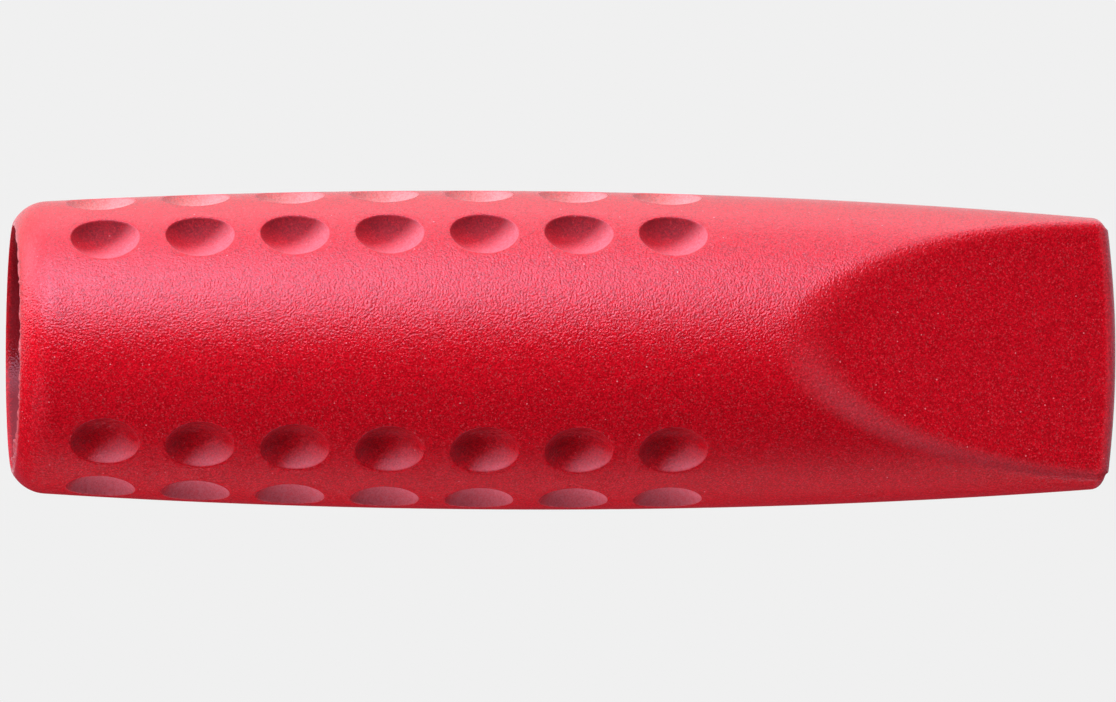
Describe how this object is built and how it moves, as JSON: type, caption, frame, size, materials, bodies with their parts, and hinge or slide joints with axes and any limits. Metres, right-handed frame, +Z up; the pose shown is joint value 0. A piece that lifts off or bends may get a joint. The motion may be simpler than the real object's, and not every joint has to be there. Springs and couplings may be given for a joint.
{
  "type": "pencil eraser topper",
  "caption": "Rubber cap that pushes over the end of a pencil: a round swelling barrel with a dimpled grip, a blind bore and a wedge-shaped rubbing tip.",
  "frame": {"origin": "on the surface that the cap lies on, under the middle of its length", "axes": "+X from the open mouth to the wedge tip, +Y square to one flat of the wedge, +Z up"},
  "size_m": [0.045, 0.013, 0.013],
  "materials": {
    "eraser_rubber": "matt moulded red eraser rubber with a fine grain"
  },
  "bodies": {
    "root": {"eraser_cap": "eraser_rubber"}
  },
  "joints": []
}
